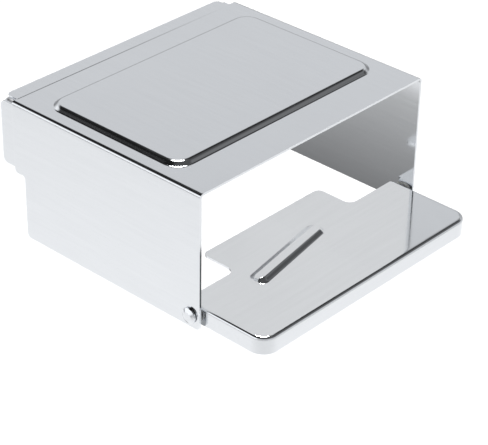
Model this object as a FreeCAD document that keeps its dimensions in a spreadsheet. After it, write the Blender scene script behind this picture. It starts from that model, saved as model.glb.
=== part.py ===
import FreeCAD, Part
import math
import os
import Sketcher
from FreeCAD import Placement, Rotation, Vector

# Covered toilet paper holder. Frame: millimetres, +X to the right as a user stands in front of it,
# +Y into the wall, +Z up. The origin is on the wall's face, at the centre of the four wall screws.

doc = FreeCAD.newDocument("toilet_paper_holder")
sheet = doc.addObject("Spreadsheet::Sheet", "sizes")


class Size:
    """A length or angle that is known both as a number and as an expression on the spreadsheet."""

    def __init__(self, number, text):
        self.number = number
        self.text = text

    def join(self, other, sign, number):
        return Size(number, f"({self.text} {sign} {as_size(other).text})")

    def __add__(self, other):
        return self.join(other, "+", self.number + as_size(other).number)

    def __sub__(self, other):
        return self.join(other, "-", self.number - as_size(other).number)

    def __mul__(self, other):
        return self.join(other, "*", self.number * as_size(other).number)

    def __truediv__(self, other):
        return self.join(other, "/", self.number / as_size(other).number)

    def __neg__(self):
        return Size(-self.number, f"(0 - {self.text})")


def as_size(value):
    return value if isinstance(value, Size) else Size(float(value), repr(float(value)))


next_row = 1


def size(alias, number, meaning):
    """Write one driving dimension into the spreadsheet and hand it back as a Size."""
    global next_row
    sheet.set(f"A{next_row}", meaning)
    sheet.set(f"B{next_row}", str(number))
    sheet.setAlias(f"B{next_row}", alias)
    next_row += 1
    return Size(float(number), f"sizes.{alias}")


# ---- Driving dimensions -------------------------------------------------------------------------

gauge = size("gauge", 1.0, "thickness of the hood's and the flap's sheet")
slack = size("slack", 0.05, "radial clearance of every pin that turns in a bush")
play = size("play", 0.3, "end play between a moving face and a fixed one")

hood_width = size("hood_width", 140.0, "hood, outside of one wall to outside of the other")
hood_depth = size("hood_depth", 111.0, "hood, front edge to the step of the lips")
hood_height = size("hood_height", 65.0, "hood, flat top to the bottom of the walls")
bend_radius = size("bend_radius", 1.6, "outer radius where the top turns into a wall")
hood_corner = size("hood_corner", 2.1, "rounded lower corners of the walls")
lip_length = size("lip_length", 8.5, "how far the stepped lips reach behind the hood")
lip_ramp = size("lip_ramp", 1.2, "length of the ramp that steps a lip in")
lip_inset = size("lip_inset", 4.2, "top lip, distance in from the outside of each wall")
lip_corner = size("lip_corner", 2.5, "rounded free corners of the lips")
side_lip_gap = size("side_lip_gap", 0.4, "side lip, gap below the top lip's underside")
side_lip_length = size("side_lip_length", 30.5, "side lip, height")
wall_step = size("wall_step", 6.2, "how far the lower back edge of a wall is cut forward")
wall_step_drop = size("wall_step_drop", 34.6, "height of that step below the hood's top")
step_corner = size("step_corner", 1.5, "rounding of the step's two corners")

slope_share = size("slope_share", 0.4, "pressed side, its inner face stands in by this share of gauge")
step_share = size("step_share", 0.45, "lip step, its inner ramp leads by this share of gauge")

platform_side = size("platform_side", 7.5, "raised platform, margin to each wall")
platform_front = size("platform_front", 19.3, "raised platform, margin to the front edge")
platform_back = size("platform_back", 13.2, "raised platform, margin to the lips' step")
platform_rise = size("platform_rise", 1.8, "raised platform, height")
platform_run = size("platform_run", 2.0, "raised platform, width of its sloping rim")
platform_corner = size("platform_corner", 8.5, "raised platform, corner radius at its foot")

hinge_back = size("hinge_back", 5.4, "hinge axis behind the hood's front edge")
hinge_up = size("hinge_up", 5.6, "hinge axis above the bottom of the walls")
hinge_hole = size("hinge_hole", 2.7, "radius of the hinge hole in a wall")
pin_radius = size("pin_radius", 1.5, "radius of a hinge pin's shank")
pin_head = size("pin_head", 3.6, "radius of a hinge pin's head")
pin_head_rise = size("pin_head_rise", 1.6, "height of a hinge pin's head")
pin_groove = size("pin_groove", 0.35, "depth of the groove for the clip")
head_crown = size("head_crown", 0.6, "flat crown of a pin's or rivet's head, share of its radius")
head_brim = size("head_brim", 0.5, "straight brim of a pin's or rivet's head, share of its height")
bush_flange = size("bush_flange", 4.4, "radius of a hinge bush's flange")
bush_flange_gauge = size("bush_flange_gauge", 0.7, "thickness of a hinge bush's flange")
washer_gauge = size("washer_gauge", 0.5, "thickness of a hinge washer")
washer_radius = size("washer_radius", 3.6, "outer radius of a hinge washer")
clip_gauge = size("clip_gauge", 0.6, "thickness of a pin clip")
clip_radius = size("clip_radius", 2.6, "outer radius of a pin clip")
clip_grip = size("clip_grip", 0.85, "mouth of a pin clip, share of the groove's width")

flap_reach = size("flap_reach", 39.0, "flap, hinge axis to its front edge")
flap_tail = size("flap_tail", 5.0, "flap, hinge axis to the plate's back edge beside the tab")
flap_rise = size("flap_rise", 4.2, "flap, top of the plate above the hinge axis")
flap_drop = size("flap_drop", 8.2, "flap, height of its flanges")
flap_corner = size("flap_corner", 7.5, "flap, front corner radius in plan")
flap_bend = size("flap_bend", 1.5, "flap, outer radius where the plate turns into a flange")
flange_tail = size("flange_tail", 3.7, "flap, hinge axis to the back end of a side flange")
tab_width = size("tab_width", 75.5, "flap, width of the tab")
tab_reach = size("tab_reach", 24.0, "flap, hinge axis to the back edge of the tab")
tab_corner = size("tab_corner", 3.0, "flap, rounded corners of the tab")
tab_root = size("tab_root", 4.0, "flap, fillets where the tab leaves the plate")
rib_length = size("rib_length", 44.5, "flap rib, between the centres of its round ends")
rib_radius = size("rib_radius", 4.2, "flap rib, half its width at the foot")
rib_rise = size("rib_rise", 2.0, "flap rib, height")
rib_run = size("rib_run", 2.0, "flap rib, width of its sloping side")
rib_turn = size("rib_turn", 10.5, "flap rib, its turn from the hinge line in degrees")
rib_left = size("rib_left", 12.5, "flap rib, centre to the left of the middle")
rib_ahead = size("rib_ahead", 2.5, "flap rib, centre ahead of the hinge axis")

plate_gauge = size("plate_gauge", 1.5, "thickness of the back plate")
plate_rim = size("plate_rim", 10.0, "how far the back plate's rim is folded forward")
plate_bend = size("plate_bend", 2.3, "outer radius of the back plate's folds")
screw_x = size("screw_x", 68.0, "wall screws, side to side")
screw_z = size("screw_z", 18.0, "wall screws, up and down")
screw_hole = size("screw_hole", 2.5, "radius of a wall-screw hole")

arm_gap = size("arm_gap", 120.0, "between the inner faces of the two roll arms")
arm_gauge = size("arm_gauge", 2.0, "thickness of a roll arm")
arm_bend = size("arm_bend", 3.0, "outer radius where an arm turns into its foot")
arm_foot = size("arm_foot", 16.0, "width of an arm's foot")
arm_height = size("arm_height", 26.0, "height of an arm's foot")
foot_corner = size("foot_corner", 3.0, "rounded corners of an arm's foot")
arm_root = size("arm_root", 7.0, "straight stretch of an arm in front of its foot")
arm_end = size("arm_end", 9.0, "radius of an arm's round end")
spindle_back = size("spindle_back", 62.0, "spindle axis behind the hood's front edge")
spindle_drop = size("spindle_drop", 38.0, "spindle axis below the hood's top")
rivet_radius = size("rivet_radius", 2.0, "radius of a rivet's shank")
rivet_head = size("rivet_head", 3.6, "radius of a rivet's head")
rivet_head_rise = size("rivet_head_rise", 1.5, "height of a rivet's head")
rivet_pitch = size("rivet_pitch", 14.0, "between the two rivets of one arm")
rivet_in = size("rivet_in", 6.5, "rivets, distance from the free edge of the arm's foot")
cup_radius = size("cup_radius", 5.2, "radius of a cup's barrel")
cup_flange = size("cup_flange", 7.5, "radius of a cup's flange")
cup_flange_gauge = size("cup_flange_gauge", 1.0, "thickness of a cup's flange")

tip_radius = size("tip_radius", 4.0, "radius of a spindle tip's spigot")
tip_nose = size("tip_nose", 0.8, "bevel round the end of a spindle tip's spigot")
tip_collar = size("tip_collar", 4.0, "length of a spindle tip's collar")
tip_plug = size("tip_plug", 8.0, "how deep a tip is pressed into its tube")
sleeve_radius = size("sleeve_radius", 9.0, "outer radius of the spindle sleeve")
tube_gauge = size("tube_gauge", 1.0, "wall of the sleeve and of the inner tube")
tube_slack = size("tube_slack", 0.08, "radial clearance of the inner tube in the sleeve")
sleeve_length = size("sleeve_length", 66.0, "length of the sleeve")
tube_length = size("tube_length", 76.0, "length of the inner tube")
spring_wire = size("spring_wire", 0.6, "radius of the spring's wire")
spring_pitch = size("spring_pitch", 3.4, "pitch of the spring's coils")

doc.recompute()

# ---- Places that several pieces share -----------------------------------------------------------

half_width = hood_width / 2
inner_half = half_width - gauge
lip_inner_half = half_width - gauge * 2
hood_front = -(lip_length + hood_depth)
hood_back = -lip_length
side_lip_drop = gauge * 2 + side_lip_gap
plate_height = side_lip_gap + side_lip_length
hood_top = plate_height / 2 + gauge * 2
hood_bottom = hood_top - hood_height
hinge_y = hood_front + hinge_back
hinge_z = hood_bottom + hinge_up
flap_half = inner_half - bush_flange_gauge - play - washer_gauge
spindle_y = hood_front + spindle_back
spindle_z = hood_top - spindle_drop
arm_inner = arm_gap / 2
arm_outer = arm_inner + arm_gauge
cup_face = arm_inner - cup_flange_gauge
tip_shoulder = cup_face - play
sleeve_bore = sleeve_radius - tube_gauge
tube_radius = sleeve_bore - tube_slack
tube_bore = tube_radius - tube_gauge
tip_inner = tip_shoulder - tip_collar
rivet_x = arm_outer - arm_foot + rivet_in
overrun = gauge * 4  # how far a drilled hole's cylinder runs past the sheet


# ---- Helpers ------------------------------------------------------------------------------------

def bind(feature, **values):
    """Set properties of a feature, each one bound to its Size on the spreadsheet."""
    for name, value in values.items():
        value = as_size(value)
        path = name.replace("_", ".")
        feature.setExpression(path, value.text)


def new_body(label, x=0, y=0, z=0):
    """One piece of the holder, standing at x, y, z."""
    body = doc.addObject("PartDesign::Body", label)
    body.Label = label
    body.AllowCompound = True
    bind(body, Placement_Base_x=x, Placement_Base_y=y, Placement_Base_z=z)
    return body


def sketch_on(body, name, plane, offset=0):
    """An empty sketch on one of the body's own origin planes, moved along its normal."""
    sketch = body.newObject("Sketcher::SketchObject", name)
    base = [item for item in body.Origin.OriginFeatures if item.Role == plane][0]
    sketch.AttachmentSupport = [(base, "")]
    sketch.MapMode = "FlatFace"
    bind(sketch, AttachmentOffset_Base_z=offset)
    return sketch


def pin_point(sketch, curve, end, x, y):
    """Hold one point of a sketch at x, y from the sketch's origin."""
    for kind, value in (("DistanceX", as_size(x)), ("DistanceY", as_size(y))):
        index = sketch.addConstraint(Sketcher.Constraint(kind, -1, 1, curve, end, value.number))
        sketch.setExpression(f"Constraints[{index}]", value.text)


def set_radius(sketch, curve, radius):
    index = sketch.addConstraint(Sketcher.Constraint("Radius", curve, as_size(radius).number))
    sketch.setExpression(f"Constraints[{index}]", as_size(radius).text)


def polygon(sketch, corners):
    """A closed outline of straight lines through the given corners."""
    points = [Vector(as_size(x).number, as_size(y).number, 0) for x, y in corners]
    count = len(points)
    for i in range(count):
        sketch.addGeometry(Part.LineSegment(points[i], points[(i + 1) % count]))
    for i in range(count):
        sketch.addConstraint(Sketcher.Constraint("Coincident", i, 2, (i + 1) % count, 1))
    for i, (x, y) in enumerate(corners):
        pin_point(sketch, i, 1, x, y)


def rounded_outline(sketch, centres, radius):
    """Arcs of one radius about the given centres, in anticlockwise order, joined by tangent lines."""
    r = as_size(radius).number
    spots = [Vector(as_size(x).number, as_size(y).number, 0) for x, y in centres]
    count = len(spots)
    sides = []
    for i in range(count):
        along = (spots[(i + 1) % count] - spots[i]).normalize()
        sides.append(Vector(along.y, -along.x, 0) * r)
    for i in range(count):
        before, after = sides[i - 1], sides[i]
        first = Vector(1, 0, 0).getAngle(before) * (1 if before.y >= 0 else -1)
        last = Vector(1, 0, 0).getAngle(after) * (1 if after.y >= 0 else -1)
        circle = Part.Circle(spots[i], Vector(0, 0, 1), r)
        sketch.addGeometry(Part.ArcOfCircle(circle, first, last))
    for i in range(count):
        following = (i + 1) % count
        sketch.addGeometry(Part.LineSegment(spots[i] + sides[i], spots[following] + sides[i]))
    for i in range(count):
        line = count + i
        following = (i + 1) % count
        sketch.addConstraint(Sketcher.Constraint("Tangent", i, 2, line, 1))
        sketch.addConstraint(Sketcher.Constraint("Tangent", line, 2, following, 1))
    for i, (x, y) in enumerate(centres):
        pin_point(sketch, i, 3, x, y)
        set_radius(sketch, i, radius)


def pad(body, name, sketch, length, both_ways=False):
    feature = body.newObject("PartDesign::Pad", name)
    feature.Profile = sketch
    if both_ways:
        feature.SideType = "Symmetric"
    bind(feature, Length=length)
    return feature


def box(body, name, low, high, cut=False):
    """A block between two corners, added to the body or cut out of it."""
    kind = "PartDesign::SubtractiveBox" if cut else "PartDesign::AdditiveBox"
    feature = body.newObject(kind, name)
    spans = [as_size(top) - bottom for bottom, top in zip(low, high)]
    bind(feature, Length=spans[0], Width=spans[1], Height=spans[2])
    bind(feature, Placement_Base_x=low[0], Placement_Base_y=low[1], Placement_Base_z=low[2])
    return feature


def round_bar(body, name, start, axis, radius, length, cut=False):
    """A cylinder along X, Y or Z from its start point, added to the body or cut out of it."""
    kind = "PartDesign::SubtractiveCylinder" if cut else "PartDesign::AdditiveCylinder"
    feature = body.newObject(kind, name)
    turns = {"X": (Vector(0, 1, 0), 90), "Y": (Vector(1, 0, 0), -90), "Z": (Vector(0, 0, 1), 0)}
    feature.Placement = Placement(Vector(0, 0, 0), Rotation(*turns[axis]))
    bind(feature, Radius=radius, Height=length)
    bind(feature, Placement_Base_x=start[0], Placement_Base_y=start[1], Placement_Base_z=start[2])
    return feature


def round_edges(body, name, radius, along, places):
    """Fillet the edges of the body that run along an axis through the given places.

    A place is a pair of coordinates across that axis, in X, Y, Z order.
    """
    doc.recompute()
    shape = body.Tip.Shape
    keep = {"X": (1, 2), "Y": (0, 2), "Z": (0, 1)}[along]
    lead = "XYZ".index(along)
    wanted = [tuple(as_size(value).number for value in place) for place in places]
    chosen = []
    for number, edge in enumerate(shape.Edges, 1):
        ends = [vertex.Point for vertex in edge.Vertexes]
        if len(ends) != 2 or abs(abs(ends[0][lead] - ends[1][lead]) - edge.Length) > 1e-4:
            continue
        for place in wanted:
            if all(abs(ends[0][axis] - value) < 1e-3 for axis, value in zip(keep, place)):
                chosen.append(f"Edge{number}")
    if not chosen:
        raise RuntimeError(f"{body.Label}: no edge to round for {name}")
    fillet = body.newObject("PartDesign::Fillet", name)
    fillet.Base = (body.Tip if body.Tip != fillet else fillet.BaseFeature, chosen)
    bind(fillet, Radius=radius)
    return fillet


def loft(body, name, sketches, cut=False):
    kind = "PartDesign::SubtractiveLoft" if cut else "PartDesign::AdditiveLoft"
    feature = body.newObject(kind, name)
    feature.Profile = sketches[0]
    feature.Sections = sketches[1:]
    feature.Ruled = True
    return feature


def turned(label, profile, side, x, y, z):
    """A turned piece whose axis lies along X; side is -1 for the left copy and 1 for the right.

    Its profile is a list of (distance along the axis, radius), and the piece points outwards.
    """
    body = new_body(label, as_size(x) * side, y, z)
    sketch = sketch_on(body, label + "_profile", "XZ_Plane")
    polygon(sketch, [(as_size(along) * side, radius) for along, radius in profile])
    feature = body.newObject("PartDesign::Revolution", label + "_turning")
    feature.Profile = sketch
    feature.ReferenceAxis = (sketch, ["H_Axis"])
    feature.Angle = 360
    return body


# ---- Hood ---------------------------------------------------------------------------------------

def raised_panel(body, name, outline, centre, top, rise, run):
    """Press a panel up out of a sheet: a sloping-sided block above it and the same hollow below.

    outline(sketch, inset) draws the panel's outline, moved in by inset. The hollow is moved in a
    little more, so that the sloping side keeps the sheet's thickness.
    """
    in_wall = gauge * slope_share
    levels = {
        "foot": (top, as_size(0)),
        "crown": (top + rise, run),
        "hollow_foot": (top - gauge, in_wall),
        "hollow_crown": (top + rise - gauge, run + in_wall),
    }
    sketches = {}
    for level, (height, inset) in levels.items():
        sketch = sketch_on(body, f"{name}_{level}", "XY_Plane", height)
        bind(sketch, AttachmentOffset_Base_x=centre[0], AttachmentOffset_Base_y=centre[1])
        outline(sketch, inset)
        sketches[level] = sketch
    loft(body, name, [sketches["foot"], sketches["crown"]])
    loft(body, name + "_hollow", [sketches["hollow_foot"], sketches["hollow_crown"]], cut=True)


def stepped_lip(edge, end):
    """Side view of a lip: the sheet runs back, steps in by its own thickness and runs on to its end.

    Points are (distance behind the hood's edge, depth below the hood's face).
    """
    lead = gauge * step_share
    return [
        (edge - gauge, gauge * 0),
        (edge, gauge * 0),
        (edge + lip_ramp, gauge),
        (end, gauge),
        (end, gauge * 2),
        (edge + lip_ramp - lead, gauge * 2),
        (edge - lead, gauge),
        (edge - gauge, gauge),
    ]


def make_hood():
    """One sheet bent into an upside-down U, open in front, below and behind."""
    hood = new_body("hood_shell")
    u_shape = sketch_on(hood, "hood_u", "XZ_Plane", -hood_back)
    polygon(u_shape, [
        (-half_width, hood_bottom), (-half_width, hood_top),
        (half_width, hood_top), (half_width, hood_bottom),
        (inner_half, hood_bottom), (inner_half, hood_top - gauge),
        (-inner_half, hood_top - gauge), (-inner_half, hood_bottom),
    ])
    pad(hood, "hood_bent_sheet", u_shape, hood_depth)
    round_edges(hood, "hood_bends", bend_radius, "Y",
                [(-half_width, hood_top), (half_width, hood_top)])
    round_edges(hood, "hood_inner_bends", bend_radius - gauge, "Y",
                [(-inner_half, hood_top - gauge), (inner_half, hood_top - gauge)])

    step_y = hood_back - wall_step
    step_z = hood_top - wall_step_drop
    box(hood, "wall_step_cut",
        (-half_width - gauge, step_y, hood_bottom - gauge),
        (half_width + gauge, hood_back + gauge, step_z), cut=True)
    round_edges(hood, "wall_corners", hood_corner, "X",
                [(step_y, hood_bottom), (hood_front, hood_bottom)])
    round_edges(hood, "step_corners", step_corner, "X",
                [(step_y, step_z), (hood_back, step_z)])

    top_lip = sketch_on(hood, "top_lip_side", "YZ_Plane")
    polygon(top_lip, [(y, hood_top - depth) for y, depth in stepped_lip(hood_back, as_size(0))])
    pad(hood, "top_lip", top_lip, (half_width - lip_inset) * 2, both_ways=True)
    round_edges(hood, "top_lip_corners", lip_corner, "Z",
                [(-(half_width - lip_inset), 0), (half_width - lip_inset, 0)])

    lip_high = hood_top - side_lip_drop
    lip_low = lip_high - side_lip_length
    for side, hand in ((-1, "left"), (1, "right")):
        plan = sketch_on(hood, f"side_lip_{hand}_plan", "XY_Plane", lip_low)
        polygon(plan, [((half_width - depth) * side, y)
                       for y, depth in stepped_lip(hood_back, as_size(0))])
        pad(hood, f"side_lip_{hand}", plan, side_lip_length)
    round_edges(hood, "side_lip_corners", lip_corner, "X", [(0, lip_high), (0, lip_low)])

    def platform_outline(sketch, inset):
        across = half_width - platform_side - platform_corner
        deep = (hood_depth - platform_front - platform_back) / 2 - platform_corner
        centres = [(-across, -deep), (across, -deep), (across, deep), (-across, deep)]
        rounded_outline(sketch, centres, platform_corner - inset)

    middle = hood_front + platform_front + (hood_depth - platform_front - platform_back) / 2
    raised_panel(hood, "platform", platform_outline, (as_size(0), middle), hood_top,
                 platform_rise, platform_run)
    round_bar(hood, "hinge_holes", (-half_width - gauge, hinge_y, hinge_z), "X", hinge_hole,
              hood_width + gauge * 2, cut=True)
    return hood


# ---- Flap ---------------------------------------------------------------------------------------

def make_flap():
    """T-shaped plate with turned-down front and sides; its own origin is on the hinge axis."""
    flap = new_body("front_flap", 0, hinge_y, hinge_z)
    under = flap_rise - flap_drop
    inside = flap_half - gauge
    box(flap, "flap_block", (-flap_half, -flap_reach, under), (flap_half, flange_tail, flap_rise))
    round_edges(flap, "flap_corners", flap_corner, "Z",
                [(-flap_half, -flap_reach), (flap_half, -flap_reach)])
    doc.recompute()
    rim = []
    for number, edge in enumerate(flap.Tip.Shape.Edges, 1):
        heights = [vertex.Point.z for vertex in edge.Vertexes]
        on_top = all(abs(height - flap_rise.number) < 1e-3 for height in heights)
        at_back = all(abs(vertex.Point.y - flange_tail.number) < 1e-3 for vertex in edge.Vertexes)
        if on_top and not at_back:
            rim.append(f"Edge{number}")
    bend = flap.newObject("PartDesign::Fillet", "flap_bends")
    bend.Base = (bend.BaseFeature, rim)
    bind(bend, Radius=flap_bend)
    doc.recompute()
    open_faces = []
    for number, face in enumerate(flap.Tip.Shape.Faces, 1):
        centre = face.CenterOfMass
        below = abs(centre.z - under.number) < 1e-3
        behind = abs(centre.y - flange_tail.number) < 1e-3
        if below or behind:
            open_faces.append(f"Face{number}")
    shell = flap.newObject("PartDesign::Thickness", "flap_sheet")
    shell.Base = (shell.BaseFeature, open_faces)
    shell.Mode = "Skin"
    shell.Join = "Arc"
    shell.Reversed = True
    bind(shell, Value=gauge)
    round_edges(flap, "flange_ends", flap_bend, "X", [(flange_tail, under)])

    plate_half = flap_half - flap_bend
    half_tab = tab_width / 2
    lap = flange_tail - gauge
    outline = sketch_on(flap, "tab_plan", "XY_Plane", flap_rise - gauge)
    polygon(outline, [
        (-plate_half, lap), (plate_half, lap), (plate_half, flap_tail), (half_tab, flap_tail),
        (half_tab, tab_reach), (-half_tab, tab_reach), (-half_tab, flap_tail),
        (-plate_half, flap_tail),
    ])
    pad(flap, "tab", outline, gauge)
    round_edges(flap, "tab_corners", tab_corner, "Z",
                [(-half_tab, tab_reach), (half_tab, tab_reach)])
    round_edges(flap, "tab_roots", tab_root, "Z",
                [(-half_tab, flap_tail), (half_tab, flap_tail)])

    def rib_outline(sketch, inset):
        bind(sketch, AttachmentOffset_Rotation_Angle=rib_turn)
        rounded_outline(sketch, [(-rib_length / 2, 0), (rib_length / 2, 0)], rib_radius - inset)

    raised_panel(flap, "rib", rib_outline, (-rib_left, -rib_ahead), flap_rise, rib_rise, rib_run)
    round_bar(flap, "pin_holes", (-flap_half - gauge, 0, 0), "X", pin_radius,
              (flap_half + gauge) * 2, cut=True)
    return flap


# ---- Hinge --------------------------------------------------------------------------------------

def make_hinge(side, hand):
    """Bush in the hood's wall, headed pin through it, washer and clip; distances from the wall."""
    bush_bore = pin_radius + slack
    turned(f"hinge_bush_{hand}", [
        (gauge, bush_bore), (gauge, hinge_hole), (0, hinge_hole), (0, bush_flange),
        (-bush_flange_gauge, bush_flange), (-bush_flange_gauge, bush_bore),
    ], side, inner_half, hinge_y, hinge_z)

    inner_face = flap_half - gauge
    head = half_width + play - inner_face
    stem_end = -(clip_gauge * 2)
    turned(f"hinge_pin_{hand}", [
        (head + pin_head_rise, 0), (head + pin_head_rise, pin_head * head_crown),
        (head + pin_head_rise * head_brim, pin_head), (head, pin_head), (head, pin_radius),
        (0, pin_radius), (0, pin_radius - pin_groove), (-clip_gauge, pin_radius - pin_groove),
        (-clip_gauge, pin_radius), (stem_end, pin_radius), (stem_end, 0),
    ], side, inner_face, hinge_y, hinge_z)

    turned(f"hinge_washer_{hand}", [
        (washer_gauge, pin_radius), (washer_gauge, washer_radius), (0, washer_radius),
        (0, pin_radius),
    ], side, flap_half, hinge_y, hinge_z)

    clip = turned(f"pin_clip_{hand}", [
        (0, pin_radius - pin_groove), (0, clip_radius), (-clip_gauge, clip_radius),
        (-clip_gauge, pin_radius - pin_groove),
    ], side, inner_face, hinge_y, hinge_z)
    mouth = (pin_radius - pin_groove) * clip_grip
    box(clip, f"clip_mouth_{hand}", (-clip_gauge * 2, -mouth, -clip_radius * 2),
        (clip_gauge * 2, mouth, 0), cut=True)


# ---- Back plate, arms and their rivets ----------------------------------------------------------

def make_back_plate():
    """Pan folded from one sheet: its rim lies under the hood's lips, its back on the wall."""
    plate = new_body("back_plate")
    half = plate_height / 2
    box(plate, "pan_block", (-lip_inner_half, -plate_rim, -half), (lip_inner_half, 0, half))
    round_edges(plate, "pan_folds", plate_bend, "X", [(0, half)])
    round_edges(plate, "pan_side_folds", plate_bend, "Z",
                [(-lip_inner_half, 0), (lip_inner_half, 0)])
    box(plate, "pan_hollow",
        (-lip_inner_half + plate_gauge, -plate_rim - gauge, -half - gauge),
        (lip_inner_half - plate_gauge, -plate_gauge, half - plate_gauge), cut=True)
    for i, (x, z) in enumerate(((-1, -1), (1, -1), (-1, 1), (1, 1))):
        round_bar(plate, f"screw_hole_{i + 1}",
                  (screw_x / 2 * x, -overrun, screw_z / 2 * z), "Y", screw_hole, overrun * 2,
                  cut=True)
    for side in (-1, 1):
        for level in (-1, 1):
            spot = (rivet_x * side, -overrun, rivet_pitch / 2 * level)
            round_bar(plate, f"rivet_hole_{side + 2}{level + 2}", spot, "Y", rivet_radius,
                      overrun * 2, cut=True)
    return plate


def make_arm(side, hand):
    """Sheet arm: a foot on the back plate, and a tapering arm that ends round the spindle's cup."""
    arm = new_body(f"roll_arm_{hand}")
    foot_face = -plate_gauge
    low_x = arm_inner if side > 0 else -arm_outer
    outline = sketch_on(arm, f"arm_side_{hand}", "YZ_Plane", low_x)
    arm_outline(outline, foot_face)
    pad(arm, f"arm_web_{hand}", outline, arm_gauge)
    free_x = (arm_outer - arm_foot) * side
    fold_x = arm_outer * side
    box(arm, f"arm_foot_{hand}",
        (free_x if side > 0 else fold_x, foot_face - arm_gauge, -arm_height / 2),
        (fold_x if side > 0 else free_x, foot_face, arm_height / 2))
    round_edges(arm, f"arm_fold_{hand}", arm_bend, "Z", [(arm_outer * side, foot_face)])
    round_edges(arm, f"arm_inner_fold_{hand}", arm_bend - arm_gauge, "Z",
                [(arm_inner * side, foot_face - arm_gauge)])
    round_edges(arm, f"arm_foot_corners_{hand}", foot_corner, "Y",
                [((arm_outer - arm_foot) * side, arm_height / 2),
                 ((arm_outer - arm_foot) * side, -arm_height / 2)])
    round_bar(arm, f"arm_cup_hole_{hand}", (low_x - gauge, spindle_y, spindle_z), "X", cup_radius,
              arm_gauge + gauge * 2, cut=True)
    for level in (-1, 1):
        round_bar(arm, f"arm_rivet_hole_{hand}_{level + 2}",
                  (rivet_x * side, -plate_gauge - overrun, rivet_pitch / 2 * level), "Y",
                  rivet_radius, overrun * 2, cut=True)
    return arm


def arm_outline(sketch, foot_face):
    """Square at the foot, then two straight sides that touch the round end.

    The two directions are first guesses: the sketch's tangencies settle where the sides touch.
    """
    root = foot_face - arm_root
    half = arm_height / 2
    corners = [(foot_face, -half), (foot_face, half), (root, half), (root, -half)]
    low, top, top_root, low_root = [Vector(y.number, z.number, 0) for y, z in corners]
    end = Vector(spindle_y.number, spindle_z.number, 0)
    upward = Vector(-1, 3, 0).normalize() * arm_end.number
    downward = Vector(1, -3, 0).normalize() * arm_end.number
    first = Vector(1, 0, 0).getAngle(upward)
    last = 2 * math.pi - Vector(1, 0, 0).getAngle(downward)
    circle = Part.Circle(end, Vector(0, 0, 1), arm_end.number)
    for curve in (Part.LineSegment(low, top), Part.LineSegment(top, top_root),
                  Part.LineSegment(top_root, end + upward), Part.ArcOfCircle(circle, first, last),
                  Part.LineSegment(end + downward, low_root), Part.LineSegment(low_root, low)):
        sketch.addGeometry(curve)
    for curve in range(6):
        kind = "Tangent" if curve in (2, 3) else "Coincident"
        sketch.addConstraint(Sketcher.Constraint(kind, curve, 2, (curve + 1) % 6, 1))
    for curve, (y, z) in zip((0, 1, 2, 5), corners):
        pin_point(sketch, curve, 1, y, z)
    pin_point(sketch, 3, 3, spindle_y, spindle_z)
    set_radius(sketch, 3, arm_end)


def make_rivets(side, hand):
    """Two solid rivets: domed heads on the arm's foot, shanks set flush with the plate's back."""
    body = new_body(f"arm_rivets_{hand}", rivet_x * side, 0, -rivet_pitch / 2)
    sketch = sketch_on(body, f"rivet_profile_{hand}", "XY_Plane")
    seat = -(plate_gauge + arm_gauge)
    polygon(sketch, [
        (0, 0), (rivet_radius, 0), (rivet_radius, seat), (rivet_head, seat),
        (rivet_head, seat - rivet_head_rise * head_brim),
        (rivet_head * head_crown, seat - rivet_head_rise),
        (0, seat - rivet_head_rise),
    ])
    turning = body.newObject("PartDesign::Revolution", f"rivet_{hand}")
    turning.Profile = sketch
    turning.ReferenceAxis = (sketch, ["V_Axis"])
    turning.Angle = 360
    pair = body.newObject("PartDesign::LinearPattern", f"rivet_pair_{hand}")
    pair.Originals = [turning]
    axis = [item for item in body.Origin.OriginFeatures if item.Role == "Z_Axis"][0]
    pair.Direction = (axis, [""])
    pair.Occurrences = 2
    bind(pair, Length=rivet_pitch)
    body.Tip = pair
    return body


def make_cup(side, hand):
    """Nylon cup in an arm's end; the spindle's tip turns in its bore."""
    bore = tip_radius + slack
    return turned(f"arm_cup_{hand}", [
        (arm_gauge, bore), (arm_gauge, cup_radius), (0, cup_radius), (0, cup_flange),
        (-cup_flange_gauge, cup_flange), (-cup_flange_gauge, bore),
    ], side, arm_inner, spindle_y, spindle_z)


# ---- Spindle ------------------------------------------------------------------------------------

def make_tip(side, hand, plug_radius):
    """Turned end of the spindle: spigot for the cup, collar, and a plug pressed into its tube."""
    spigot = arm_outer - tip_shoulder
    return turned(f"spindle_tip_{hand}", [
        (spigot, 0), (spigot, tip_radius - tip_nose), (spigot - tip_nose, tip_radius),
        (0, tip_radius),
        (0, sleeve_radius), (-tip_collar, sleeve_radius), (-tip_collar, plug_radius),
        (-tip_collar - tip_plug, plug_radius), (-tip_collar - tip_plug, 0),
    ], side, tip_shoulder, spindle_y, spindle_z)


def make_tube(label, side, radius, length):
    """Plain tube that starts at a tip's collar and runs inwards."""
    bore = radius - tube_gauge
    return turned(label, [(0, bore), (0, radius), (-length, radius), (-length, bore)],
                  side, tip_inner, spindle_y, spindle_z)


def make_spring():
    """Coil spring between the left tip's plug and the inner end of the inner tube."""
    start = -tip_inner + tip_plug
    end = tip_inner - tube_length
    coil = sleeve_bore - spring_wire * 2
    body = new_body("spindle_spring", start + spring_wire, spindle_y, spindle_z)
    sketch = sketch_on(body, "spring_wire_section", "XZ_Plane")
    circle = sketch.addGeometry(Part.Circle(Vector(0, coil.number, 0), Vector(0, 0, 1),
                                            spring_wire.number))
    pin_point(sketch, circle, 3, 0, coil)
    set_radius(sketch, circle, spring_wire)
    helix = body.newObject("PartDesign::AdditiveHelix", "spring_coils")
    helix.Profile = sketch
    helix.ReferenceAxis = (sketch, ["H_Axis"])
    helix.Mode = "pitch-height-angle"
    bind(helix, Pitch=spring_pitch, Height=end - start - spring_wire * 2)
    return body


# ---- Build, check and write ---------------------------------------------------------------------

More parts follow.
